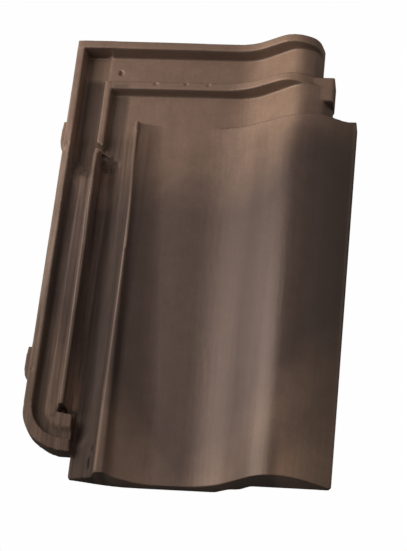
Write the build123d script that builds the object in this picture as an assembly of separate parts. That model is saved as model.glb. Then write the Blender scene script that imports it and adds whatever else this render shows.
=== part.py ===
from build123d import *
import os

# Interlocking clay pantile, pressed and fired as one piece. Millimetres.
# X runs across the tile from the underlap's outer edge to the cover roll,
# Y runs up the slope from the foot to the head, Z is up. The tile lies on
# the lip of its foot and on its two batten nibs, all of them at height zero.

# Overall plan
length = 433.0
width = 270.0             # from the underlap's edge to the outer edge of the roll
profile_height = 45.0     # height of the cover roll, which the section's heights follow
step_reach = 83.5         # lapped head part, from the step to the head edge
wall = 8.0                # clay under the trough, the channels and the roll
overrun = 5.0             # how far every cut runs past the clay
step_y = length - step_reach

# Underlap along the left side
rim_foot_left = 1.6       # outer face of the rim, which leans in towards the head
rim_head_left = 5.5
rim_foot_height = 24.0
rim_head_height = 31.0
rim_width = 7.0
rim_base = 12.0
wall_run = 2.0            # sideways run of every pressed wall
outer_floor = 20.0        # outer channel, from the foot to the drain
outer_deep_floor = 13.0   # outer channel above the drain
side_rib_left = 33.2
side_rib_width = 3.6
side_rib_height = 25.0
upper_rib_left = 34.6
upper_rib_width = 5.9
upper_slope = 4.8         # slope from the outer channel up to the uppermost zone
upper_shoulder = 1.0      # flat that ends the slope
slope_share = 0.3
channel_ledge = 2.0
channel_x = upper_rib_left + upper_rib_width + wall_run + channel_ledge
head_left = upper_rib_left + upper_rib_width / 2
tongue_inset = 2.3
tongue_left = channel_x + tongue_inset
edge_share = 0.2          # rounding of the edges, as a share of the shorter run beside them
root_share = 0.15

# Foot corner of the underlap, a rim round a low plateau
underlap_foot = 22.0
outer_corner = 39.0
inner_corner = 30.0
foot_rim = 12.0
corner_fall = 3.0         # how far the rim falls towards the inner channel
rib_end_y = 65.0
pit_length = 5.5          # pressed hollow below the end of the side rib
pit_slant = 3.0
pit_floor = 11.5

# Skirt under the foot of the underlap: what is cut below it, as shares of the inner
# channel's place and of the profile height
skirt_length = 6.0
skirt_shares = ((-0.3, 0.38, 0), (0.3, 0.38, 0.3), (0.68, 0.17, 0.4), (1.1, 0.17, 0))

# Long pad in the outer channel
pad_width = 7.0
pad_gap = 1.7
pad_height = 0.8
pad_foot = 55.0

# Inner channel, between the side rib and the strip beside the crest
gutter_floor = 9.5
gutter_shoulder = 14.3
gutter_foot = 18.0        # where the tongue ends and the channel begins to fall
gutter_foot_ramp = 20.0
gutter_head_back = 36.5   # from the step down to the channel's head end
gutter_head_ramp = 9.0
gutter_high = step_y - gutter_head_back
gutter_low = gutter_high - gutter_head_ramp

# Drain through the side rib, with the dam that turns the water
ramp_length = 20.0        # rise of the outer channel below the drain
drain_height = 12.0       # gap in the side rib
drain_floor = 12.8
dam_run = 16.5
dam_drop = 8.5
dam_width = 1.8
dam_top = 19.0
dam_head_y = gutter_high + dam_drop
drain_width = 6.0

# Sections as corners: place across the width from the inner channel, height as a
# share of the profile height, and rounding as a share of the shorter run beside
# the corner. They run over the channel, strip, crest, trough and cover roll.
foot_shares = ((0, 0.3, 0), (0.0244, 0.324, 0.3), (0.0576, 0.378, 0.3), (0.102, 0.44, 0.12),
               (0.1202, 0.7, 0.25), (0.1565, 0.724, 0.3), (0.184, 0.507, 0.35), (0.286, 0.198, 0.5),
               (0.5326, 0.204, 0.36), (0.7969, 1.2, 0.72), (0.9512, 0.631, 0.2), (1, 0.431, 0))
step_shares = ((0, 0.34, 0), (0.0244, 0.34, 0.3), (0.0576, 0.34, 0.3), (0.0989, 0.344, 0.12),
               (0.1033, 0.584, 0.4), (0.1144, 0.584, 0.4), (0.122, 0.5, 0.35), (0.192, 0.34, 0.3),
               (0.4922, 0.338, 0.35), (0.8137, 1.191, 0.72), (0.953, 0.68, 0.25), (1, 0.5, 0))
ear_shares = ((0.953, 0.76, 0.25), (1, 0.733, 0))
middle_shares = ((0, 0.34, 0), (0.5667, 0.34, 0.3), (0.7694, 1.005, 0.5),
                 (0.862, 0.862, 0.3), (0.897, 0.49, 0))
rib_shares = ((0, 0.544, 0), (0.5255, 0.544, 0.35), (0.7295, 1.12, 0.6),
              (0.8325, 0.84, 0.3), (0.897, 0.4, 0))
upper_shares = ((0, 0.396, 0), (0.5699, 0.396, 0.3), (0.7472, 0.956, 0.55),
                (0.8204, 0.8, 0.35), (0.8492, 0.4, 0))
rim_shares = ((0, 0.69, 0), (0.5548, 0.655, 0.3), (0.7273, 1.165, 0.55),
              (0.8293, 0.92, 0.4), (0.8506, 0.38, 0))

# The same for the underside, which starts under the side rib
lip_shares = ((-0.07, 0.25, 0), (0.0244, 0.24, 0.3), (0.184, 0, 0.5), (0.561, 0, 0.12),
              (0.6164, 0.178, 0.3), (0.6585, 0.204, 0.3), (0.7028, 0.389, 0.2), (1.06, 0.373, 0))
under_tongue_shares = ((-0.07, 0.17, 0), (0.0244, 0.17, 0.2), (0.0931, 0.24, 0.3), (0.1375, 0.42, 0.3),
                       (0.2373, 0.03, 0.3), (0.5565, 0.03, 0.3), (0.7953, 0.97, 0.6),
                       (0.9548, 0.378, 0.1), (1.06, 0.373, 0))
under_foot_shares = ((-0.07, 0.03, 0), (0.0244, 0.03, 0.2), (0.0931, 0.22, 0.3), (0.1375, 0.42, 0.3),
                     (0.2373, 0.03, 0.3), (0.5565, 0.03, 0.3), (0.7953, 0.97, 0.6),
                     (0.9548, 0.378, 0.1), (1.06, 0.373, 0))
under_channel_shares = ((-0.07, 0.03, 0), (0.0244, 0.03, 0.2), (0.0887, 0.178, 0.3), (0.1109, 0.26, 0.3),
                        (0.153, 0.17, 0.3), (0.53, 0.17, 0.3), (0.8115, 1.01, 0.65),
                        (0.9557, 0.378, 0.1), (1.06, 0.373, 0))
under_step_shares = ((-0.07, 0.17, 0), (0.0244, 0.17, 0.2), (0.0887, 0.178, 0.3), (0.1109, 0.26, 0.3),
                     (0.153, 0.178, 0.3), (0.5255, 0.178, 0.3), (0.8137, 1.02, 0.65),
                     (0.9557, 0.378, 0.1), (1.06, 0.373, 0))
under_head_shares = ((-0.07, 0.178, 0), (0.5854, 0.178, 0.3), (0.7639, 0.8, 0.5),
                     (0.8204, 0.378, 0.1), (1.06, 0.373, 0))

# Head: a rib and the rim across the tile, with a channel between them
rib_reach = 48.0          # from the rib's foot face to the head edge
rib_top_length = 8.0
rim_length = 8.3
face_run = 2.5            # run of the walls that face the foot
face_share = 0.85         # height at which such a wall starts to round over
rib_foot_face = length - rib_reach
rim_foot_face = length - rim_length

# Right side of the body's head end, which rises to an ear
ear_length = 25.0

# Right end of the head, which steps in three times
upper_end_share = 0.847   # places across the width from the inner channel
shelf_end_share = 0.902
shelf_left_share = 0.8115
shelf_height = 39.5
shelf_low_reach = 65.5    # from the shelf's foot and head ends to the head edge
shelf_high_reach = rib_reach - rib_top_length
shelf_round = 2.0

# Foot wall that closes the roll, and what hangs under the tile
lip_length = 11.0
nib_width = 26.0
nib_length = 15.0
nib_reach = 35.0          # from the nibs' bearing face to the head edge
nib_places_share = (0.1, 0.48)
nib_round = 2.0
lap_rib_y = 42.0
lap_rib_length = 8.0
lap_rib_left_share = 0.245
lap_rib_right_share = 0.55

# Stacking lugs on the outer edge: outline as shares of their reach and length
lug_reach = 5.0
lug_length = 30.0
lug_low = 11.0
lug_high = 20.0
lug_places_share = (0.207, 0.739)
lug_shares = ((0.85, 1), (0.97, 0.7), (1, 0.3), (0.8, 0.1), (0.4, 0))

# Small things
mark_x = 47.4             # pressed nail mark
mark_reach = 27.6
mark_radius = 2.7
mark_depth = 2.0
tongue_round = 3.0
foot_round = 3.5


def upright(face, y):
    """A face drawn in X and Z, stood up across the tile at y."""
    return Plane.XZ.offset(-y) * face


def across(share):
    """A place across the body, counted from the inner channel."""
    return channel_x + (width - channel_x) * share


def corners_of(shares):
    """Corners with real sizes from a table of shares."""
    return [(across(x), profile_height * z, rounding) for x, z, rounding in shares]


def blend(low, high, share):
    """Corners part of the way from one list of corners to another."""
    return [tuple(a + (b - a) * share for a, b in zip(p, q)) for p, q in zip(low, high)]


def outline(corners, bottom):
    """A face between a line through (x, z, rounding) corners and a flat bottom."""
    points = [Vector(x, z) for x, z, _ in corners]
    edges = []
    start = points[0]
    for before, corner, after, (_, _, rounding) in zip(points, points[1:], points[2:], corners[1:]):
        reach = rounding * min((corner - before).length, (after - corner).length)
        near = corner + (before - corner).normalized() * reach
        far = corner + (after - corner).normalized() * reach
        edges += [Line(start, near), Bezier(near, corner, far)]
        start = far
    last = points[-1]
    low_left, low_right = (points[0].X, bottom), (last.X, bottom)
    edges += [Line(start, last), Line(last, low_right), Line(low_right, low_left),
              Line(low_left, points[0])]
    return make_face(edges)


def skin(sections, bottom=-overrun):
    """A solid through (y, corners) sections, flat below."""
    return loft([upright(outline(corners, bottom), y) for y, corners in sections], ruled=True)


def bar(corners, y_low, y_high, bottom=-overrun):
    """A solid of one section from y_low to y_high."""
    return extrude(upright(outline(corners, bottom), y_low), amount=y_low - y_high)


def block(x_low, x_high, y_low, y_high, z_low, z_high):
    size = (x_high - x_low, y_high - y_low, z_high - z_low)
    middle = ((x_low + x_high) / 2, (y_low + y_high) / 2, (z_low + z_high) / 2)
    return Pos(*middle) * Box(*size)


def plan(points, z_low, z_high):
    """An upright prism on (x, y) points."""
    face = make_face(Polyline(*points, points[0]))
    return Pos(0, 0, z_low) * extrude(face, amount=z_high - z_low)


def cornered(left, foot, radius, reach, z_low, z_high):
    """A quarter plane of clay, from left and foot outwards, with its corner rounded."""
    whole = block(left, left + radius + reach, foot, foot + radius + reach, z_low, z_high)
    corner = whole.edges().filter_by(Axis.Z).sort_by(Axis.X)[0:2].sort_by(Axis.Y)[0]
    return fillet(corner, radius)


def corner_chip(x, y, radius, side):
    """What rounds an upright foot corner of the body: side is 1 at the left, -1 at the right."""
    top = profile_height + overrun
    inner = x + side * radius
    low, high = sorted((x - side * overrun, inner))
    rod = Pos(inner, y + radius, 0) * Cylinder(radius, 2 * top)
    return block(low, high, y - overrun, y + radius, -overrun, top) - rod


def body_section(y, floor=None, shoulder=None):
    """Section of the body at y, with the inner channel's floor and shoulder where given."""
    corners = blend(corners_of(foot_shares), corners_of(step_shares), y / step_y)
    if floor is not None:
        (x0, _, r0), (x1, _, r1), (x2, _, r2) = corners[:3]
        corners[:3] = [(x0, floor, r0), (x1, floor, r1), (x2, shoulder, r2)]
    return corners


def field():
    """Channel, strip, crest, trough and cover roll, from the foot to the step."""
    zone = profile_height * middle_shares[0][1]
    eared = body_section(step_y)[:-len(ear_shares)] + corners_of(ear_shares)
    return skin([(0, body_section(0)),
                 (gutter_foot, body_section(gutter_foot)),
                 (gutter_foot + gutter_foot_ramp,
                  body_section(gutter_foot + gutter_foot_ramp, gutter_floor, gutter_shoulder)),
                 (gutter_low, body_section(gutter_low, gutter_floor, gutter_shoulder)),
                 (gutter_high, body_section(gutter_high, zone, zone)),
                 (step_y - ear_length, body_section(step_y - ear_length)),
                 (step_y, eared)])


def head_corners(shares):
    """Corners of the head's sections, which start at the middle of the side rib."""
    first, *others = corners_of(shares)
    return [(head_left, first[1], 0)] + others


def head():
    """The two zones above the step, the rib between them and the head rim."""
    middle, rib = head_corners(middle_shares), head_corners(rib_shares)
    upper, rim = head_corners(upper_shares), head_corners(rim_shares)
    rib_back = rib_foot_face + rib_top_length
    near = face_run * (1 - face_share)
    return skin([(step_y, middle),
                 (rib_foot_face - face_run, middle),
                 (rib_foot_face - near, blend(middle, rib, face_share)),
                 (rib_foot_face + near, rib),
                 (rib_back - near, rib),
                 (rib_back + near, blend(upper, rib, face_share)),
                 (rib_back + wall_run, upper),
                 (rim_foot_face - face_run, upper),
                 (rim_foot_face - near, blend(upper, rim, face_share)),
                 (rim_foot_face + near, rim),
                 (length, rim)])


def shelf():
    """Flat shelf that carries the rib on to the right end of the head."""
    whole = block(across(shelf_left_share), across(shelf_end_share), length - shelf_low_reach,
                  length - shelf_high_reach, 0, shelf_height)
    return fillet(whole.edges().group_by(Axis.Z)[-1].sort_by(Axis.X)[1:], shelf_round)


def rim_place(y):
    """Outer face and height of the underlap's rim, which both change along the tile."""
    share = y / length
    return (rim_foot_left + (rim_head_left - rim_foot_left) * share,
            rim_foot_height + (rim_head_height - rim_foot_height) * share)


def side_section(y, outer, rib_left, rib_width, inner):
    """Section of the underlap: rim, outer channel, side rib, and its foot in the inner channel."""
    rim_x, rim_z = rim_place(y)
    rim_right = rim_x + rim_width
    rib_right = rib_left + rib_width
    return [(rim_x, rim_base, 0),
            (rim_x, rim_z, edge_share),
            (rim_right, rim_z, edge_share),
            (rim_right + wall_run, outer, root_share),
            (rib_left - wall_run, outer, root_share),
            (rib_left, side_rib_height, edge_share),
            (rib_right, side_rib_height, edge_share),
            (rib_right + wall_run, inner, root_share),
            (channel_x, inner, 0)]


def underlap():
    """The lapped left side from the end of its rib up to the head's rib."""
    zone = profile_height * middle_shares[0][1]
    ramp_y = gutter_high - ramp_length
    ramp_share = (gutter_low - ramp_y) / ramp_length
    ramp_floor = outer_floor + (outer_deep_floor - outer_floor) * ramp_share
    low_rib = (side_rib_left, side_rib_width)
    high_rib = (upper_rib_left, upper_rib_width)
    places = ((rib_end_y, outer_floor, *low_rib, gutter_floor),
              (ramp_y, outer_floor, *low_rib, gutter_floor),
              (gutter_low, ramp_floor, *low_rib, gutter_floor),
              (gutter_high, outer_deep_floor, *low_rib, zone),
              (gutter_high + drain_height, outer_deep_floor, *high_rib, zone),
              (rib_foot_face + rib_top_length, outer_deep_floor, *high_rib, zone))
    return skin([(place[0], side_section(*place)) for place in places])


def upper_side():
    """Outer channel beside the uppermost zone, with a slope up to that zone."""
    rib_back = rib_foot_face + rib_top_length
    rim_x, rim_z = rim_place(rib_back)
    rim_right = rim_x + rim_width
    zone = profile_height * upper_shares[0][1]
    return bar([(rim_x, rim_base, 0),
                (rim_x, rim_z, edge_share),
                (rim_right, rim_z, edge_share),
                (rim_right + wall_run, outer_deep_floor, root_share),
                (head_left - upper_shoulder - upper_slope, outer_deep_floor, slope_share),
                (head_left - upper_shoulder, zone, slope_share),
                (head_left, zone, 0)], rib_back, rim_foot_face)


def head_side():
    """Head rim where it crosses the underlap."""
    rim_x, rim_z = rim_place(rim_foot_face)
    height = profile_height * rim_shares[0][1]
    return bar([(rim_x, rim_base, 0), (rim_x, rim_z, edge_share),
                (rim_x + rim_width, height, edge_share), (head_left, height, 0)],
               rim_foot_face, length)


def foot_corner():
    """Rounded foot corner of the underlap."""
    rim_x, rim_z = rim_place(rib_end_y)
    top = rim_z + overrun
    middle = (rim_x + channel_x) / 2
    whole = bar([(rim_x, rim_base, 0), (rim_x, rim_z, edge_share), (middle, rim_z, edge_share),
                 (tongue_left, rim_z - corner_fall, 0)], underlap_foot, rib_end_y)
    whole &= cornered(rim_x, underlap_foot, outer_corner, rib_end_y, -overrun, top)
    whole -= plan([(channel_x, rib_end_y), (tongue_left, underlap_foot), (tongue_left, rib_end_y)],
                  -overrun, top)
    return whole - cornered(rim_x + rim_width + wall_run / 2, underlap_foot + foot_rim,
                            inner_corner, rib_end_y, outer_floor, top)


def pit():
    """The pressed hollow below the end of the side rib."""
    left = side_rib_left - wall_run
    high = rib_end_y
    low = high - pit_length
    return plan([(left, low), (left + wall_run, high), (channel_x + overrun, high),
                 (channel_x + overrun, low - pit_slant)], pit_floor, rim_head_height)


def pad():
    """Long low pad on the floor of the outer channel, round at its foot end."""
    right = side_rib_left - wall_run - pad_gap
    middle = right - pad_width / 2
    high = gutter_high - ramp_length
    low = pad_foot + pad_width / 2
    base = outer_floor - pad_height
    disc = Pos(middle, low, base + pad_height) * Cylinder(pad_width / 2, 2 * pad_height)
    return block(right - pad_width, right, low, high, base, outer_floor + pad_height) + disc


def dam_points(left_width):
    """Outline of the dam from its lower face, as wide as given at its left end."""
    left = side_rib_left - wall_run / 2
    low = dam_head_y - dam_drop
    return [(left, dam_head_y), (left + dam_run, low), (left + dam_run, low + dam_width),
            (left, dam_head_y + left_width)]


def lug(place_share):
    """A stacking lug on the outer edge, tapered at its foot end."""
    y = place_share * length
    rim_x = rim_place(y)[0]
    back = rim_x + wall_run
    points = [(rim_x - lug_reach * reach, y + lug_length * along) for reach, along in lug_shares]
    return plan([(back, y + lug_length)] + points + [(back, y)], lug_low, lug_high)


def hollow():
    """Everything below the underside."""
    low = -2 * overrun
    tongue = corners_of(under_tongue_shares)
    lip = bar(corners_of(lip_shares), -overrun, lip_length, low)
    middle = skin([(lip_length, tongue),
                   (underlap_foot, tongue),
                   (gutter_foot + gutter_foot_ramp + wall, corners_of(under_foot_shares)),
                   (gutter_low, corners_of(under_channel_shares)),
                   (gutter_high + wall, corners_of(under_step_shares)),
                   (step_y, corners_of(under_step_shares))], low)
    end = bar(corners_of(under_head_shares), step_y, length + overrun, low)
    side = side_rib_left + side_rib_width - wall
    left = -lug_reach - overrun
    ramp = gutter_high - ramp_length
    skirt = underlap_foot + skirt_length
    front = bar([(channel_x * x, profile_height * z, rounding) for x, z, rounding in skirt_shares],
                -overrun, skirt, low)
    shallow = block(left, side, skirt, ramp, low, outer_floor - wall)
    deep = block(left, side, ramp, length + overrun, low, outer_deep_floor - wall)
    return [lip, middle, end, front, shallow, deep]


def nibs():
    """Two batten nibs under the head."""
    high = profile_height * under_head_shares[0][1] + wall / 2
    low_y = length - nib_reach
    found = []
    for share in nib_places_share:
        x = across(share)
        nib = block(x - nib_width / 2, x + nib_width / 2, low_y, low_y + nib_length, 0, high)
        found.append(fillet(nib.edges().filter_by(Axis.Z), nib_round))
    return found


def lap_rib():
    """Low rib under the trough that drops into the next tile's head channel."""
    return block(across(lap_rib_left_share), across(lap_rib_right_share), lap_rib_y,
                 lap_rib_y + lap_rib_length, 0, wall / 2)


def tile():
    body = field() + head() + underlap() + upper_side() + head_side() + foot_corner()
    body += shelf()
    body += pad()
    body -= plan(dam_points(dam_width + drain_width), drain_floor, profile_height)
    body += plan(dam_points(dam_width), outer_deep_floor - wall / 2, dam_top)
    body -= pit()
    for share in lug_places_share:
        body += lug(share)
    top = profile_height + 2 * overrun
    far_left, far_right = -lug_reach - overrun, width + overrun
    body -= block(far_left, tongue_left, -overrun, underlap_foot, -2 * overrun, top)
    body -= block(across(upper_end_share), far_right, length - shelf_high_reach, length + overrun,
                  -2 * overrun, top)
    for piece in hollow():
        body -= piece
    for nib in nibs():
        body += nib
    body += lap_rib()
    body -= corner_chip(tongue_left, 0, tongue_round, 1)
    body -= corner_chip(width, 0, foot_round, -1)
    zone = profile_height * upper_shares[0][1]
    nail = Rot(90, 0, 0) * Sphere(mark_radius)
    body -= Pos(mark_x, length - mark_reach, zone + mark_radius - mark_depth) * nail
    lug_middle = lug_places_share[0] * length
    left = rim_place(lug_middle)[0] - lug_reach
    return Pos(-(left + width) / 2, -length / 2, 0) * body


part = tile()
os.makedirs("parts", exist_ok=True)
export_step(part, "parts/roof_tile.step")
print(part.is_valid, len(part.solids()), part.volume, part.bounding_box())
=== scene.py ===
import math

import bmesh
import bpy
from bpy.props import FloatProperty, FloatVectorProperty, IntProperty, PointerProperty, StringProperty
from mathutils import Matrix, Vector


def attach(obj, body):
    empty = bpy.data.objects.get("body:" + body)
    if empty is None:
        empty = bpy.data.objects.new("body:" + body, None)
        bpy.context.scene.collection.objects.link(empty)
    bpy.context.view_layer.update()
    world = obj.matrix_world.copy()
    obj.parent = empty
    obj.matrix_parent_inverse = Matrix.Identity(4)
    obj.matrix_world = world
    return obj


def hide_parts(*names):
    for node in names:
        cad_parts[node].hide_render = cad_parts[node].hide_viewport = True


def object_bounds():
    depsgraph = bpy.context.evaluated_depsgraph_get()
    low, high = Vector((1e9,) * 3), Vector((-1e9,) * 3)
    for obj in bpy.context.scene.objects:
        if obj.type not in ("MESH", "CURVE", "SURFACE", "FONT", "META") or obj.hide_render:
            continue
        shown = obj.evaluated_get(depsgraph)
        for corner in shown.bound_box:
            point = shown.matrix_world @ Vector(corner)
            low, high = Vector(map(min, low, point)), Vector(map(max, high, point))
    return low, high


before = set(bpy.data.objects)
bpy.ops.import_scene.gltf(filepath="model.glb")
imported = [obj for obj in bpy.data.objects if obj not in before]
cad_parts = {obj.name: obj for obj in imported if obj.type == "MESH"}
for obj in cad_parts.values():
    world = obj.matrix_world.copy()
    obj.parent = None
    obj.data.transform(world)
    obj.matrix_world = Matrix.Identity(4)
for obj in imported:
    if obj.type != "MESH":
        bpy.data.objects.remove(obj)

bl_info = {
    "name": "Clay roof tile",
    "version": (1, 0, 0),
    "blender": (4, 5, 0),
    "location": "3D View > Sidebar > Tile",
    "description": "Dresses an interlocking clay roof tile in its fired engobe and lights it",
    "category": "Object",
}

MM = 0.001
TILE_NODE = "roof_tile"
BODY = "root"
CAD_BOX = [list(corner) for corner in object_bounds()]

# Camera, floor and lights
IMAGE_SIZE = (407, 551)        # pixels
SENSOR = 36.0                  # millimetres along the longer side of the image
CAMERA_REACH = 20.0            # how far the camera sees, in metres
FLOOR_HALF = 6.0               # metres from the floor's middle to its edge
FLOOR_SEEN = "FEFEFE"
FLOOR_SHEET = "8C8A88"
SKY = "FFFFFF"
SKY_STRENGTH = 0.24

# Each soft light's name, its place and side in metres, and its watts. Both point at the tile's middle.
LIGHTS = (("key", (-0.57, 0.10, 0.48), 0.62, 5.2),
          ("fill", (1.3, 0.3, 0.7), 1.2, 1.2))

# The press works in millimetres from the CAD source's zero corner, at the tile's left and foot.
LUG_OVERHANG = 2.592           # how far the side lugs reach out past that corner
TILE_LEFT = round(CAD_BOX[0][0] / MM + LUG_OVERHANG, 3)
TILE_FOOT = round(CAD_BOX[0][1] / MM, 3)
UPWARD = 0.02                  # least upward part of the normal on clay that the press reaches
PRESSED_LOWEST = 4.5           # height below which nothing of the underlap is pressed
PRESSED_RIGHT = 64.0
PRESSED_FOOT = 24.0
PRESSED_HEAD = 320.0
SIDE_RIB = 36.0                # a place inside the side rib, between the groove and the inner channel

# Rim of the underlap
RIM_INSIDE = 9.6               # foot end of the rim's inner wall
RIM_LEAN = 0.009               # how far that wall leans inwards for each millimetre of length
CORNER_RADIUS = 30.0
CORNER_Y = 64.0

# Groove beside the rim. A pair says where its depth starts and where it is full.
GROOVE_EDGE = (13.0, 7.0)      # distance from the rim's inner wall
GROOVE_HEAD = (300.0, 280.0)
GROOVE_RIGHT = (62.0, 50.0)
GROOVE_TOP = (25.5, 19.5)      # height, which keeps the press off the rim
GROOVE_LOWEST = 15.0
GROOVE_CORNER = 60.0           # up to here the groove follows the foot corner past the side rib
GROOVE_RIB = (SIDE_RIB, 30.0)  # above there it ends at the rib
GROOVE_SHADE = (150.0, 70.0)    # near the foot corner the groove is painted darker as shade
GROOVE_SHADE_SHARE = 0.7               # how much of the groove's depth counts as hollow there, for its painted shade

# Inner channel
GUTTER_RIGHT = (63.0, 53.0)
GUTTER_FOOT = (28.0, 48.0)
GUTTER_HEAD = (316.0, 300.0)
GUTTER_TOP = 25.0
GUTTER_FALL = 15.0             # how far below that the press reaches its full depth
PIT_HEAD = 66.0                # below the side rib's end only the clay of its pit is pressed
PIT_TOP = 16.0

# Chips, flakes and a crack in the fired clay, and last the nail mark, pressed deeper: middle across and
# along, lowest height, half size across and along, depth.
CHIPS = ((82, 391, 22, 3.0, 2.2, 1.4), (110, 391.5, 22, 2.6, 2.0, 1.6), (131, 390.5, 22, 2.0, 2.6, 1.2),
         (53.8, 309, 12, 0.9, 5.5, 1.2), (64.8, 14, 15, 1.3, 9.0, 1.6), (66.5, 27, 15, 1.2, 5.0, 1.2),
         (5.5, 316, 26, 2.4, 3.5, 1.5), (9.0, 322, 26, 1.6, 2.0, 1.2), (24.4, 60, 18, 1.0, 8.0, 0.9),
         (5.0, 96, 18, 2.0, 2.6, 1.3), (73.8, 343, 22, 1.8, 3.0, 1.3), (46.5, 406.9, 10, 2.0, 2.2, 1.8))
CHIPS_END = 140.0              # no chip lies farther across
CHIP_FLOOR = 0.3               # share of a chip's half size that is at full depth

# The pressed skin's mesh
MERGE = 0.001                  # the solid's corners that are closer than this are one
SMOOTHING = 0.5                # share of its way to its neighbours' middle that a pass moves a point
EDGE_PASSES = 3                # edges stand proud of the skin that is smoothed so often
HOLLOW_PASSES = 120            # channels lie below the skin that is smoothed so often

# From here on places are in millimetres of the frame: X runs across the tile from its underlap to its
# roll, and Y from its foot to its head.

# Soft steps in colour, painted shade and highlight, wear and gloss: the axis, where a step starts and ends,
# and its values there.
STEPS = {
    "below_head": ("Y", 134, 112, 0, 1),             # all but the head and its channels
    "crown_highlight_left": ("X", 14, 52, 0, 1),               # the roll's crown, painted lighter towards the head as a painted highlight
    "crown_highlight_right": ("X", 92, 76, 0, 1),
    "crown_highlight_along": ("Y", 60, 140, 0.2, 0.82),
    "lap": ("X", -62.5, -64, 0, 1),                  # painted shade on the underlap, most in its inner channel
    "lap_floor": ("X", -82, -92, 0.95, 0.1),
    "above_corner": ("Y", -158, -140, 0, 1),         # edges are worn above the foot corner
    "rim": ("X", -122, -125, 0, 1),                  # wear on the rim
    "rim_foot": ("Y", -150, -60, 0.2, 0.5),
    "rim_head": ("Y", 130, 60, 0.3, 1),
    "streaked": ("X", -60, -72, 0, 1),               # press streaks on the underlap
    "outer_lap": ("X", -95.5, -96.5, 0, 1),          # side rib, outer channel and rim
    "shade_fade": ("Y", -120, 30, -0.38, 0.25),            # painted shade at the foot and painted light towards the head
    "lip_shade_left": ("X", 50, 64, 0, 1),                 # the roll's crown is painted darker at the foot lip, as painted shade
    "lip_shade_right": ("X", 98, 86, 0, 1),
    "lip_shade_along": ("Y", -150, -208, 0, -0.5),
    "far_side_shade": ("X", 108, 134, 1, 0.66),            # the roll's outer side, painted darker as shade
    "matt": ("X", -50, -58, 0, 0.35),                # roughness of the underlap
    "gloss": ("X", 48, 66, 0, -0.08),                # roughness of the roll
}

# Soft bands: the axis, a band's middle, how far from it the band starts and is full, and its value.
BANDS = {
    "crest": ("X", -57.5, 5.5, 3, 1),
    "gutter_light": ("X", -91.5, 6, 3, 1.2),               # painted light in the inner channel beside the side rib, where the rib's shade falls
    "gutter_light_along": ("Y", -30, 127, 115, 1),
    "outer_well": ("X", -109.5, 13, 6.5, 0.75),      # painted shade in the channels beside the drain
    "outer_well_along": ("Y", 128, 58, 50, 1),
    "inner_well": ("X", -84, 10, 5, 0.6),
    "inner_well_along": ("Y", 134, 42, 34, 1),
}
WELLS = ("outer_well", "inner_well")

# Painted light and shade across the tile, about the crest and on the roll's highlights: from the first
# place to the second the tone turns to so many times what it was, and it stays so beyond.
LIGHT_AND_SHADE_STEPS = ((-61.2, -62.2, 0.62), (-67, -71, 1.25), (-85, -90, 1.05), (-59.4, -58.4, 0.75),
              (-53, -48, 1.3), (-22, -8, 0.92), (20, 36, 0.93), (42, 50, 0.84), (56, 62, 1.19),
              (70, 77, 0.86), (86, 94, 1.22), (100, 122, 0.85))

# Lengthwise lines painted bright as highlights on rounded edges: middle, half width, foot end, head end,
# strength, and how far the line moves across between the tile's middle and its head end.
HIGHLIGHT_LINES = ((-99.9, 1.0, -148, 78, 0.5, -2.4), (-97.6, 0.8, -148, 60, 0.35, -2.0),
              (-60.9, 1.0, -214, 124, 0.55, -3.2), (-60.5, 1.6, 0, 124, 0.7, -3.2),
              (134.4, 1.6, -190, 130, 0.3, 0))

# The kiln cloud ends in fronts that sway along the tile. The head's lies higher on the roll. Those at
# the foot slant: how far a front falls back towards the foot for each millimetre across, and where it
# starts and ends at the tile's middle.
SWAY = 70
HEAD_FRONT = (38, 116)
ROLL_START, ROLL_END, ROLL_SHIFT = 60, 92, 46
FOOT_FRONTS = {"roll": (-1.2, -200, -272), "trough": (1.2, -190, -255), "roll_end": (-1.2, -285, -360)}

PLATEAU_RIGHT = -87.5          # the low plateau in the underlap's foot corner
PLATEAU_HEAD = -151
LAP_SHADE = (125, -70)          # along the underlap, where its painted shade starts and is full
SHADED_DEPTH = (0.5, 2.2)       # depth of a hollow where painted shade starts and where it is full
WALL_TURN = (0.3, 0.75)        # the same painted shade on a wall, by how far its normal turns along the tile
WORN_EDGE = (0.05, 0.14)       # edges that are rubbed, by how far they stand proud
WORN_ABOVE = 0.3               # no wear in a hollow deeper than this
STREAK_STRETCH = 0.03          # width of a press streak as a share of its length
RELIEF = 0.25                  # height of the grain
ROUGHNESS = 0.45               # of the trough, which STEPS changes beside it


def linear(text):
    """A colour written as sRGB hex, as the linear RGBA that Blender's nodes take."""
    values = [int(text[i:i + 2], 16) / 255 for i in (0, 2, 4)]
    return [v / 12.92 if v <= 0.04045 else ((v + 0.055) / 1.055) ** 2.4 for v in values] + [1.0]


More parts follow.
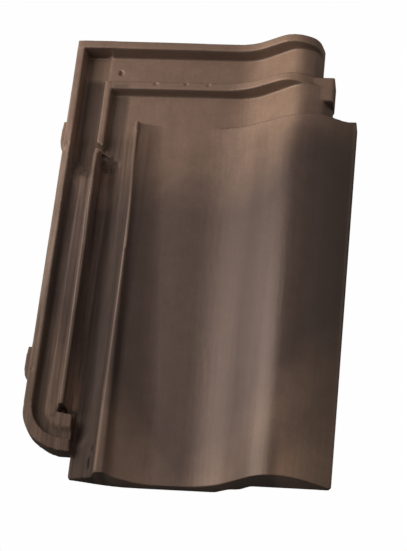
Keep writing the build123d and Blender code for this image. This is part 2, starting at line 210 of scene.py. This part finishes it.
class TileSettings(bpy.types.PropertyGroup):
    """Sizes and colours of the fired tile."""
    grain: FloatProperty(name="Grain", description="Edge length of the pressed skin's cells",
                         default=1.0 * MM, unit="LENGTH")
    softness: IntProperty(name="Softness", description="Smoothing passes over the pressed edges", default=2)
    triangles: IntProperty(name="Triangles", description="Most triangles in the pressed skin",
                           default=190000)
    groove_depth: FloatProperty(name="Groove", description="How far the groove by the rim is pressed in",
                                default=3.0 * MM, unit="LENGTH")
    gutter_depth: FloatProperty(name="Gutter", description="How far the inner channel is pressed in",
                                default=4.0 * MM, unit="LENGTH")
    warm_color: StringProperty(name="Warm engobe", description="Brown of head and foot, sRGB hex",
                               default="7D6455")
    cloud_color: StringProperty(name="Kiln cloud", description="Grey-brown of the middle, sRGB hex",
                                default="53433D")
    # Also laid on the roll's crown as a painted highlight.
    bright_color: StringProperty(name="Bright foot", description="Foot end of the roll, sRGB hex",
                                 default="A3836C")
    # Also the colour of the highlights painted along lengthwise edges.
    worn_and_highlight_color: StringProperty(name="Worn edge", description="Engobe rubbed thin on edges, sRGB hex",
                               default="A38A78")
    # Painted shade: the colour laid in hollows and channels, over the underlap's foot and on walls that face
    # the foot or the head.
    shade_color: StringProperty(name="Channel grime", description="Dust fired into channels, sRGB hex",
                                default="3B302B")
    glint_color: StringProperty(name="Glint", description="Tint of the engobe's gloss, sRGB hex",
                                default="FFDCC6")
    cloud_size: FloatProperty(name="Cloud", description="Size of the kiln cloud's drifts",
                              default=70 * MM, unit="LENGTH")
    blotch_size: FloatProperty(name="Blotch", description="Size of the engobe's blotches",
                               default=14 * MM, unit="LENGTH")
    # The clay's grain is about 0.5 mm, which is too fine to show, so its specks are drawn coarser.
    speck_size: FloatProperty(name="Speck", description="Size of specks and of the grain's relief",
                              default=1.9 * MM, unit="LENGTH")
    streak_width: FloatProperty(name="Streak", description="Width of streaks drawn by the press",
                                default=2.4 * MM, unit="LENGTH")


class StageSettings(bpy.types.PropertyGroup):
    """The camera's place and lens."""
    focal: FloatProperty(name="Focal length", description="In pixels of the image", default=2146.686)
    elevation: FloatProperty(name="Elevation", description="Degrees above the horizon", default=61.2606)
    azimuth: FloatProperty(name="Azimuth", description="Degrees round from the foot", default=16.3462)
    roll: FloatProperty(name="Roll", description="Degrees about the line of sight", default=-12.2899)
    target: FloatVectorProperty(name="Target", description="Point the camera looks at", size=3,
                                default=(7.946 * MM, -10.313 * MM, 0), subtype="XYZ", unit="LENGTH")
    distance: FloatProperty(name="Distance", description="Camera to target", default=1904.64 * MM,
                            unit="LENGTH")


SOFT = {"interpolation_type": "SMOOTHSTEP"}
BLEND = {"data_type": "RGBA"}
LOW, HIGH, BLENDED = 6, 7, 2   # sockets of a colour mix: its two colours and its result


def node(tree, kind, values=None, links=None, **settings):
    """Adds a node, sets its input values and links its inputs from (node, output) pairs."""
    made = tree.nodes.new(kind)
    for name, value in settings.items():
        setattr(made, name, value)
    for socket, value in (values or {}).items():
        made.inputs[socket].default_value = value
    for socket, (source, output) in (links or {}).items():
        tree.links.new(source.outputs[output], made.inputs[socket])
    return made


def masks(tree, axes):
    """The soft steps and bands by name, each as the (node, output) pair that a link starts from."""
    found = {}
    for name, (axis, start, end, low, high) in STEPS.items():
        step = node(tree, "ShaderNodeMapRange", {"From Min": start * MM, "From Max": end * MM,
                                                 "To Min": low, "To Max": high},
                    {"Value": (axes, axis)}, **SOFT)
        found[name] = (step, "Result")
    for name, (axis, middle, start, full, value) in BANDS.items():
        aside = node(tree, "ShaderNodeMath", {1: middle * MM}, {0: (axes, axis)}, operation="SUBTRACT")
        aside = node(tree, "ShaderNodeMath", links={0: (aside, "Value")}, operation="ABSOLUTE")
        band = node(tree, "ShaderNodeMapRange", {"From Min": start * MM, "From Max": full * MM,
                                                 "To Max": value}, {"Value": (aside, "Value")}, **SOFT)
        found[name] = (band, "Result")
    return found


def clouded(tree, axes, along, mask, settings):
    """Brown at head and foot, a grey-brown kiln cloud between, and the crown painted lighter as a painted
    highlight.
    """
    shift = node(tree, "ShaderNodeMapRange", {"From Min": ROLL_START * MM, "From Max": ROLL_END * MM,
                                              "To Max": ROLL_SHIFT * MM}, {"Value": (axes, "X")}, **SOFT)
    head = node(tree, "ShaderNodeMath", links={0: (along, "Value"), 1: (shift, "Result")},
                operation="SUBTRACT")
    start, end = HEAD_FRONT
    head = node(tree, "ShaderNodeMapRange", {"From Min": start * MM, "From Max": end * MM},
                {"Value": (head, "Value")}, **SOFT)
    foot = {}
    for name, (slant, start, end) in FOOT_FRONTS.items():
        line = node(tree, "ShaderNodeMath", {1: slant}, {0: (axes, "X"), 2: (along, "Value")},
                    operation="MULTIPLY_ADD")
        foot[name] = node(tree, "ShaderNodeMapRange", {"From Min": start * MM, "From Max": end * MM},
                          {"Value": (line, "Value")}, **SOFT)
    warm = node(tree, "ShaderNodeMath", links={0: (head, "Result"), 1: (foot["roll"], "Result")},
                operation="MAXIMUM")
    warm = node(tree, "ShaderNodeMath", links={0: (warm, "Value"), 1: (foot["trough"], "Result")},
                operation="MAXIMUM")
    # Painted highlight: the crown is mixed towards the bright colour.
    crown_highlight = node(tree, "ShaderNodeMath", links={0: mask["crown_highlight_left"], 1: mask["crown_highlight_right"]},
                 operation="MULTIPLY")
    for share in (mask["crown_highlight_along"], (head, "Result")):
        crown_highlight = node(tree, "ShaderNodeMath", links={0: (crown_highlight, "Value"), 1: share}, operation="MULTIPLY")
    color = node(tree, "ShaderNodeMix",
                 {LOW: linear(settings.cloud_color), HIGH: linear(settings.warm_color)},
                 {"Factor": (warm, "Value")}, **BLEND)
    for share in ((foot["roll_end"], "Result"), (crown_highlight, "Value")):
        color = node(tree, "ShaderNodeMix", {HIGH: linear(settings.bright_color)},
                     {"Factor": share, LOW: (color, BLENDED)}, **BLEND)
    return color


def shaded(tree, along, mask, color, hollow, settings):
    """Painted shade in hollows and channels, over the foot of the underlap and on walls that face the
    foot or the head."""
    start, full = SHADED_DEPTH
    painted_shade = node(tree, "ShaderNodeMapRange", {"From Min": start * MM, "From Max": full * MM, "To Max": 0.5},
                {"Value": (hollow, "Fac")}, **SOFT)
    start, full = LAP_SHADE
    lap_foot = node(tree, "ShaderNodeMapRange", {"From Min": start * MM, "From Max": full * MM},
                    {"Value": (along, "Value")}, **SOFT)
    lap = node(tree, "ShaderNodeMath", links={0: mask["lap"], 1: mask["lap_floor"]}, operation="MULTIPLY")
    lap = node(tree, "ShaderNodeMath", links={0: (lap, "Value"), 1: (lap_foot, "Result")},
               operation="MULTIPLY")
    shape = node(tree, "ShaderNodeNewGeometry")
    facing = node(tree, "ShaderNodeSeparateXYZ", links={"Vector": (shape, "Normal")})
    facing = node(tree, "ShaderNodeMath", links={0: (facing, "Y")}, operation="ABSOLUTE")
    start, full = WALL_TURN
    wall = node(tree, "ShaderNodeMapRange", {"From Min": start, "From Max": full, "To Max": 0.65},
                {"Value": (facing, "Value")}, **SOFT)
    places = [(lap, "Value"), (wall, "Result")]
    for name in WELLS:
        well = node(tree, "ShaderNodeMath", links={0: mask[name], 1: mask[name + "_along"]},
                    operation="MULTIPLY")
        places.append((well, "Value"))
    for place in places:
        painted_shade = node(tree, "ShaderNodeMath", links={0: (painted_shade, 0), 1: place}, operation="MAXIMUM")
    # Painted shade: the colour is mixed towards the shade colour.
    return node(tree, "ShaderNodeMix", {HIGH: linear(settings.shade_color)},
                {"Factor": (painted_shade, "Value"), LOW: (color, BLENDED)}, **BLEND)


def worn_and_highlit(tree, axes, mask, color, hollow, settings):
    """Engobe rubbed thin on edges and on the rim, and highlights painted along lines."""
    edge = node(tree, "ShaderNodeAttribute", attribute_name="edge")
    start, full = WORN_EDGE
    rubbed = node(tree, "ShaderNodeMapRange", {"From Min": start * MM, "From Max": full * MM, "To Max": 0.8},
                  {"Value": (edge, "Fac")}, **SOFT)
    wear_and_highlight = node(tree, "ShaderNodeMath", links={0: (rubbed, "Result"), 1: mask["above_corner"]},
                operation="MULTIPLY")
    rim = node(tree, "ShaderNodeMath", links={0: mask["rim"], 1: mask["rim_foot"]}, operation="MULTIPLY")
    rim = node(tree, "ShaderNodeMath", links={0: (rim, "Value"), 1: mask["rim_head"]},
               operation="MULTIPLY")
    lines = [rim]
    # Painted highlights along the lengthwise lines.
    for middle, width, foot, head, share, lean in HIGHLIGHT_LINES:
        moved = node(tree, "ShaderNodeMapRange", {"From Min": 0, "From Max": head * MM,
                                                  "To Min": middle * MM, "To Max": (middle + lean) * MM},
                     {"Value": (axes, "Y")}, **SOFT)
        across = node(tree, "ShaderNodeMath", links={0: (axes, "X"), 1: (moved, "Result")},
                      operation="SUBTRACT")
        across = node(tree, "ShaderNodeMath", links={0: (across, "Value")}, operation="ABSOLUTE")
        line = node(tree, "ShaderNodeMapRange", {"From Min": width * MM, "From Max": width / 3 * MM,
                                                 "To Max": share}, {"Value": (across, "Value")}, **SOFT)
        within = node(tree, "ShaderNodeMath", {1: (foot + head) / 2 * MM}, {0: (axes, "Y")},
                      operation="SUBTRACT")
        within = node(tree, "ShaderNodeMath", links={0: (within, "Value")}, operation="ABSOLUTE")
        within = node(tree, "ShaderNodeMath", {1: (head - foot) / 2 * MM}, {0: (within, "Value")},
                      operation="LESS_THAN")
        lines.append(node(tree, "ShaderNodeMath", links={0: (line, "Result"), 1: (within, "Value")},
                          operation="MULTIPLY"))
    for line in lines:
        wear_and_highlight = node(tree, "ShaderNodeMath", links={0: (wear_and_highlight, "Value"), 1: (line, "Value")},
                    operation="MAXIMUM")
    high = node(tree, "ShaderNodeMapRange", {"From Min": WORN_ABOVE * MM, "From Max": -WORN_ABOVE * MM},
                {"Value": (hollow, "Fac")}, **SOFT)
    wear_and_highlight = node(tree, "ShaderNodeMath", links={0: (wear_and_highlight, "Value"), 1: (high, "Result")},
                operation="MULTIPLY")
    return node(tree, "ShaderNodeMix", {HIGH: linear(settings.worn_and_highlight_color)},
                {"Factor": (wear_and_highlight, "Value"), LOW: (color, BLENDED)}, **BLEND)


def mottled(tree, place, mask, speck, settings):
    """Light and dark in the engobe: specks, blotches, and streaks drawn lengthwise by the press."""
    blotch = node(tree, "ShaderNodeTexNoise", {"Scale": 1 / settings.blotch_size, "Detail": 5.0,
                                               "Roughness": 0.6}, {"Vector": (place, "Object")})
    drawn = node(tree, "ShaderNodeMapping", {"Scale": (1.0, STREAK_STRETCH, 1.0)},
                 {"Vector": (place, "Object")})
    streak = node(tree, "ShaderNodeTexNoise", {"Scale": 1 / settings.streak_width, "Detail": 3.0,
                                               "Roughness": 0.6}, {"Vector": (drawn, "Vector")})
    specks = node(tree, "ShaderNodeMapRange", {"To Min": 0.76, "To Max": 1.24}, {"Value": (speck, "Fac")})
    blotches = node(tree, "ShaderNodeMapRange", {"From Min": 0.3, "From Max": 0.7, "To Min": 0.9,
                                                 "To Max": 1.1}, {"Value": (blotch, "Fac")})
    streaks = node(tree, "ShaderNodeMapRange", {"From Min": 0.3, "From Max": 0.7, "To Min": -0.5,
                                                "To Max": 0.5}, {"Value": (streak, "Fac")})
    lap = node(tree, "ShaderNodeMath", links={0: mask["streaked"], 1: mask["below_head"]},
               operation="MULTIPLY")
    strength = node(tree, "ShaderNodeMapRange", {"To Min": 0.1, "To Max": 0.85}, {"Value": (lap, "Value")})
    tone = node(tree, "ShaderNodeMath", links={0: (specks, "Result"), 1: (blotches, "Result")},
                operation="MULTIPLY")
    return node(tree, "ShaderNodeMath", links={0: (streaks, "Result"), 1: (strength, "Result"),
                                               2: (tone, "Value")}, operation="MULTIPLY_ADD")


def toned(tree, axes, mask, tone):
    """The tones that go with a place on the tile, such as painted light and shade across it and the roll's
    foot lip painted darker as shade.
    """
    right = node(tree, "ShaderNodeMath", {1: PLATEAU_RIGHT * MM}, {0: (axes, "X")}, operation="LESS_THAN")
    below = node(tree, "ShaderNodeMath", {1: PLATEAU_HEAD * MM}, {0: (axes, "Y")}, operation="LESS_THAN")
    faded = node(tree, "ShaderNodeMath", links={0: (right, "Value"), 1: (below, "Value")},
                 operation="MULTIPLY")
    for name in ("outer_lap", "crest"):
        faded = node(tree, "ShaderNodeMath", links={0: (faded, "Value"), 1: mask[name]},
                     operation="MAXIMUM")
    faded = node(tree, "ShaderNodeMath", links={0: (faded, "Value"), 1: mask["below_head"]},
                 operation="MULTIPLY")
    # Painted shade at the roll's foot lip.
    lip_shade = node(tree, "ShaderNodeMath", links={0: mask["lip_shade_along"], 1: mask["lip_shade_left"]},
               operation="MULTIPLY")
    changes = []
    # Painted light and shade across the tile.
    for start, end, share in LIGHT_AND_SHADE_STEPS:
        band = node(tree, "ShaderNodeMapRange", {"From Min": start * MM, "From Max": end * MM,
                                                 "To Max": share - 1}, {"Value": (axes, "X")}, **SOFT)
        changes.append(((band, "Result"), mask["below_head"]))
    # Painted light in the inner channel, painted shade at the foot and light towards the head, and painted
    # shade at the roll's foot lip.
    changes += [(mask["gutter_light"], mask["gutter_light_along"]), (mask["shade_fade"], (faded, "Value")),
                ((lip_shade, "Value"), mask["lip_shade_right"])]
    for change, within in changes:
        share = node(tree, "ShaderNodeMath", {2: 1.0}, {0: change, 1: within}, operation="MULTIPLY_ADD")
        tone = node(tree, "ShaderNodeMath", links={0: (tone, "Value"), 1: (share, "Value")},
                    operation="MULTIPLY")
    # Painted shade on the roll's outer side.
    return node(tree, "ShaderNodeMath", links={0: (tone, "Value"), 1: mask["far_side_shade"]},
                operation="MULTIPLY")


def engobe(settings):
    """Engobe, a brown clay slip, fired matt to satin on the pressed clay."""
    # It is nearly matt, so ribs and channels show by their shade, and only the roll takes a warm,
    # broad highlight. Its colour is uneven, because it is thin and the kiln clouds it, and light and shade
    # are painted into it too: shade in hollows and channels, highlights on the crown and along edges.
    material = bpy.data.materials.new("fired_engobe")
    material.use_nodes = True
    tree = material.node_tree
    tree.nodes.clear()
    place = node(tree, "ShaderNodeTexCoord")
    axes = node(tree, "ShaderNodeSeparateXYZ", links={"Vector": (place, "Object")})
    hollow = node(tree, "ShaderNodeAttribute", attribute_name="hollow")
    drift = node(tree, "ShaderNodeTexNoise", {"Scale": 1 / settings.cloud_size, "Detail": 3.0,
                                              "Roughness": 0.55}, {"Vector": (place, "Object")})
    sway = node(tree, "ShaderNodeMath", {1: SWAY * MM, 2: -SWAY / 2 * MM}, {0: (drift, "Fac")},
                operation="MULTIPLY_ADD")
    along = node(tree, "ShaderNodeMath", links={0: (axes, "Y"), 1: (sway, "Value")}, operation="ADD")
    speck = node(tree, "ShaderNodeTexNoise", {"Scale": 1 / settings.speck_size, "Detail": 4.0,
                                              "Roughness": 0.7}, {"Vector": (place, "Object")})
    mask = masks(tree, axes)
    color = clouded(tree, axes, along, mask, settings)
    color = shaded(tree, along, mask, color, hollow, settings)
    color = worn_and_highlit(tree, axes, mask, color, hollow, settings)
    tone = toned(tree, axes, mask, mottled(tree, place, mask, speck, settings))
    color = node(tree, "ShaderNodeVectorMath", links={0: (color, BLENDED), 1: (tone, "Value")},
                 operation="MULTIPLY")
    rough = node(tree, "ShaderNodeMath", {2: ROUGHNESS}, {0: mask["matt"], 1: mask["below_head"]},
                 operation="MULTIPLY_ADD")
    rough = node(tree, "ShaderNodeMath", links={0: (rough, "Value"), 1: mask["gloss"]}, operation="ADD")
    relief = node(tree, "ShaderNodeBump", {"Strength": 0.6, "Distance": RELIEF * MM},
                  {"Height": (speck, "Fac")})
    shader = node(tree, "ShaderNodeBsdfPrincipled",
                  {"IOR": 1.6, "Specular Tint": linear(settings.glint_color)},
                  {"Base Color": (color, "Vector"), "Roughness": (rough, "Value"),
                   "Normal": (relief, "Normal")})
    node(tree, "ShaderNodeOutputMaterial", links={"Surface": (shader, "BSDF")})
    return material


def baked(piece, name):
    """A mesh with the piece's modifiers applied."""
    graph = bpy.context.evaluated_depsgraph_get()
    mesh = bpy.data.meshes.new_from_object(piece.evaluated_get(graph))
    mesh.name = name
    return mesh


def ramp(value, start, end):
    """0 at the start, 1 at the end and a soft step between."""
    share = min(max((value - start) / (end - start), 0), 1)
    return share * share * (3 - 2 * share)


def from_rim(x, y):
    """Distance inwards from the rim's inner wall, which turns round the foot corner."""
    wall = RIM_INSIDE + RIM_LEAN * y
    if y >= CORNER_Y:
        return x - wall
    if x >= wall + CORNER_RADIUS:
        return y - (CORNER_Y - CORNER_RADIUS)
    return CORNER_RADIUS - math.hypot(x - wall - CORNER_RADIUS, y - CORNER_Y)


def chipped(x, y, z):
    """How deep the chips go in at a point of the tile."""
    deepest = 0.0
    for middle, along, lowest, across, length, depth in CHIPS:
        reach = math.hypot((x - middle) / across, (y - along) / length)
        if reach < 1 and z > lowest:
            deepest = max(deepest, depth * ramp(reach, 1, CHIP_FLOOR))
    return deepest * MM


def groove_share(gap, x, y, z):
    """How much of the groove's depth a point gets that lies so far from the rim's inner wall."""
    share = ramp(gap, *GROOVE_EDGE) * ramp(y, *GROOVE_HEAD) * ramp(x, *GROOVE_RIGHT) * ramp(z, *GROOVE_TOP)
    if y > GROOVE_CORNER:
        share *= ramp(x, *GROOVE_RIB)
    return share


def gutter_share(x, y, z):
    """How much of the inner channel's depth a point gets."""
    low = min(max((GUTTER_TOP - z) / GUTTER_FALL, 0), 1)
    return ramp(x, *GUTTER_RIGHT) * ramp(y, *GUTTER_FOOT) * ramp(y, *GUTTER_HEAD) * low


def press_channels(piece, settings):
    """Presses the chips, the groove beside the rim and the inner channel into the tile's top. Returns
    how deep the groove is at each point, as far as it is painted darker as shade."""
    groove_shade = [0.0] * len(piece.data.vertices)
    facing_up = [vertex.normal.z > UPWARD for vertex in piece.data.vertices]
    for index, (vertex, up) in enumerate(zip(piece.data.vertices, facing_up)):
        if not up:
            continue
        x, y, z = (value / MM for value in vertex.co)
        x, y = x - TILE_LEFT, y - TILE_FOOT
        if x < CHIPS_END:
            vertex.co.z -= chipped(x, y, z)
        if z < PRESSED_LOWEST or x > PRESSED_RIGHT or not PRESSED_FOOT <= y <= PRESSED_HEAD:
            continue
        gap = from_rim(x, y)
        if 0 < gap < GROOVE_EDGE[0] and z > GROOVE_LOWEST and (x < SIDE_RIB or y < GROOVE_CORNER):
            depth = settings.groove_depth * groove_share(gap, x, y, z)
            # The groove's depth near the foot corner, kept for its painted shade.
            groove_shade[index] = depth * ramp(y, *GROOVE_SHADE)
        elif SIDE_RIB < x < PRESSED_RIGHT and z < GUTTER_TOP and (y > PIT_HEAD or z < PIT_TOP):
            depth = settings.gutter_depth * gutter_share(x, y, z)
        else:
            continue
        vertex.co.z -= depth
    return groove_shade


def smoothed(piece, passes, name):
    """A copy of the piece's mesh after that many smoothing passes."""
    soften = piece.modifiers.new("soften", "SMOOTH")
    soften.factor = SMOOTHING
    soften.iterations = passes
    mesh = baked(piece, name)
    piece.modifiers.clear()
    return mesh


def sunk(piece, passes):
    """How far each point lies below the surface smoothed that many times."""
    mean = smoothed(piece, passes, "average")
    depths = [(there.co - here.co).dot(here.normal)
              for here, there in zip(piece.data.vertices, mean.vertices)]
    bpy.data.meshes.remove(mean)
    return depths


def merged(source):
    """A copy of the CAD node's loose triangles with their corners joined."""
    mesh = source.data.copy()
    joined = bmesh.new()
    joined.from_mesh(mesh)
    bmesh.ops.remove_doubles(joined, verts=joined.verts, dist=MERGE * MM)
    joined.to_mesh(mesh)
    joined.free()
    return mesh


def pressed_skin(settings):
    """The tile's solid with the soft edges that pressed clay has."""
    piece = bpy.data.objects.new("pressed_tile", merged(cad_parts[TILE_NODE]))
    bpy.context.scene.collection.objects.link(piece)
    remesh = piece.modifiers.new("cells", "REMESH")
    remesh.mode = "VOXEL"
    remesh.voxel_size = settings.grain
    piece.data = baked(piece, "pressed_tile")
    piece.modifiers.clear()
    groove_shade = press_channels(piece, settings)
    piece.data = smoothed(piece, settings.softness, "pressed_tile")
    edges = [-depth for depth in sunk(piece, EDGE_PASSES)]
    # Hollows, with the groove near the foot corner added, for the painted shade.
    hollows = [depth + GROOVE_SHADE_SHARE * painted_shade for depth, painted_shade in zip(sunk(piece, HOLLOW_PASSES), groove_shade)]
    for name, values in (("edge", edges), ("hollow", hollows)):
        field = piece.data.attributes.new(name, "FLOAT", "POINT")
        field.data.foreach_set("value", values)
    thin = piece.modifiers.new("thin", "DECIMATE")
    thin.ratio = settings.triangles / sum(len(face.vertices) - 2 for face in piece.data.polygons)
    piece.data = baked(piece, "pressed_tile")
    piece.modifiers.clear()
    for face in piece.data.polygons:
        face.use_smooth = True
    return piece


class TILE_OT_body(bpy.types.Operator):
    """Models the pressed and fired tile with its engobe"""
    bl_idname = "tile.body"
    bl_label = "Press the tile"

    def execute(self, context):
        settings = context.scene.tile_settings
        piece = pressed_skin(settings)
        piece.data.materials.clear()
        piece.data.materials.append(engobe(settings))
        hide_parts(TILE_NODE)
        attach(piece, BODY)
        return {"FINISHED"}


def paper():
    """White paper that looks evenly white, with no shadow on it, and gives the tile little light."""
    material = bpy.data.materials.new("white_paper")
    material.use_nodes = True
    tree = material.node_tree
    tree.nodes.clear()
    seen = node(tree, "ShaderNodeEmission", {"Color": linear(FLOOR_SEEN), "Strength": 1.0})
    sheet = node(tree, "ShaderNodeBsdfDiffuse", {"Color": linear(FLOOR_SHEET)})
    view = node(tree, "ShaderNodeLightPath")
    mix = node(tree, "ShaderNodeMixShader", links={0: (view, "Is Camera Ray"), 1: (sheet, "BSDF"),
                                                   2: (seen, "Emission")})
    node(tree, "ShaderNodeOutputMaterial", links={"Surface": (mix, "Shader")})
    return material


def add_floor():
    """The level floor that the tile lies on."""
    mesh = bpy.data.meshes.new("floor")
    made = bmesh.new()
    bmesh.ops.create_grid(made, x_segments=1, y_segments=1, size=FLOOR_HALF)
    made.to_mesh(mesh)
    made.free()
    floor = bpy.data.objects.new("floor", mesh)
    bpy.context.scene.collection.objects.link(floor)
    mesh.materials.append(paper())


def add_lights():
    """A soft light from the left, a larger and weaker one from the right, and an even white sky."""
    for name, place, side, power in LIGHTS:
        data = bpy.data.lights.new(name, "AREA")
        data.shape = "SQUARE"
        data.size = side
        data.energy = power
        light = bpy.data.objects.new(name, data)
        turn = (-Vector(place)).to_track_quat("-Z", "Y").to_matrix().to_4x4()
        light.matrix_world = Matrix.Translation(place) @ turn
        bpy.context.scene.collection.objects.link(light)
    world = bpy.data.worlds.new("studio")
    world.use_nodes = True
    background = world.node_tree.nodes["Background"]
    background.inputs["Color"].default_value = linear(SKY)
    background.inputs["Strength"].default_value = SKY_STRENGTH
    bpy.context.scene.world = world


def add_camera(scene, settings):
    """A camera that sees the tile from the photograph's angle."""
    data = bpy.data.cameras.new("photo_camera")
    data.sensor_width = SENSOR
    data.sensor_fit = "AUTO"
    data.lens = SENSOR * settings.focal / max(IMAGE_SIZE)
    data.clip_end = CAMERA_REACH
    e, a, r = (math.radians(v) for v in (settings.elevation, settings.azimuth, settings.roll))
    back = Vector((math.sin(a) * math.cos(e), -math.cos(a) * math.cos(e), math.sin(e)))
    right = (-back).cross(Vector((0, 0, 1))).normalized()
    up = right.cross(-back)
    side = math.cos(r) * right + math.sin(r) * up
    top = -math.sin(r) * right + math.cos(r) * up
    turn = Matrix((side, top, back)).transposed().to_4x4()
    camera = bpy.data.objects.new("photo_camera", data)
    camera.matrix_world = Matrix.Translation(Vector(settings.target) + back * settings.distance) @ turn
    scene.collection.objects.link(camera)
    scene.camera = camera


class TILE_OT_stage(bpy.types.Operator):
    """Adds the floor, the lights and the camera"""
    bl_idname = "tile.stage"
    bl_label = "Set the stage"

    def execute(self, context):
        add_floor()
        add_lights()
        add_camera(context.scene, context.scene.stage_settings)
        context.scene.view_settings.view_transform = "Standard"
        return {"FINISHED"}


class TILE_PT_panel(bpy.types.Panel):
    """The tile's steps in the sidebar"""
    bl_idname = "TILE_PT_panel"
    bl_label = "Clay roof tile"
    bl_space_type = "VIEW_3D"
    bl_region_type = "UI"
    bl_category = "Tile"

    def draw(self, context):
        for operator in OPERATORS:
            self.layout.operator(operator.bl_idname)


GROUPS = (("tile_settings", TileSettings), ("stage_settings", StageSettings))
OPERATORS = (TILE_OT_body, TILE_OT_stage)


def register():
    for name, group in GROUPS:
        bpy.utils.register_class(group)
        setattr(bpy.types.Scene, name, PointerProperty(type=group))
    for operator in OPERATORS:
        bpy.utils.register_class(operator)
    bpy.utils.register_class(TILE_PT_panel)


def unregister():
    bpy.utils.unregister_class(TILE_PT_panel)
    for operator in reversed(OPERATORS):
        bpy.utils.unregister_class(operator)
    for name, group in reversed(GROUPS):
        delattr(bpy.types.Scene, name)
        bpy.utils.unregister_class(group)


def main():
    register()
    bpy.ops.tile.body()
    bpy.ops.tile.stage()


if __name__ == "__main__":
    main()
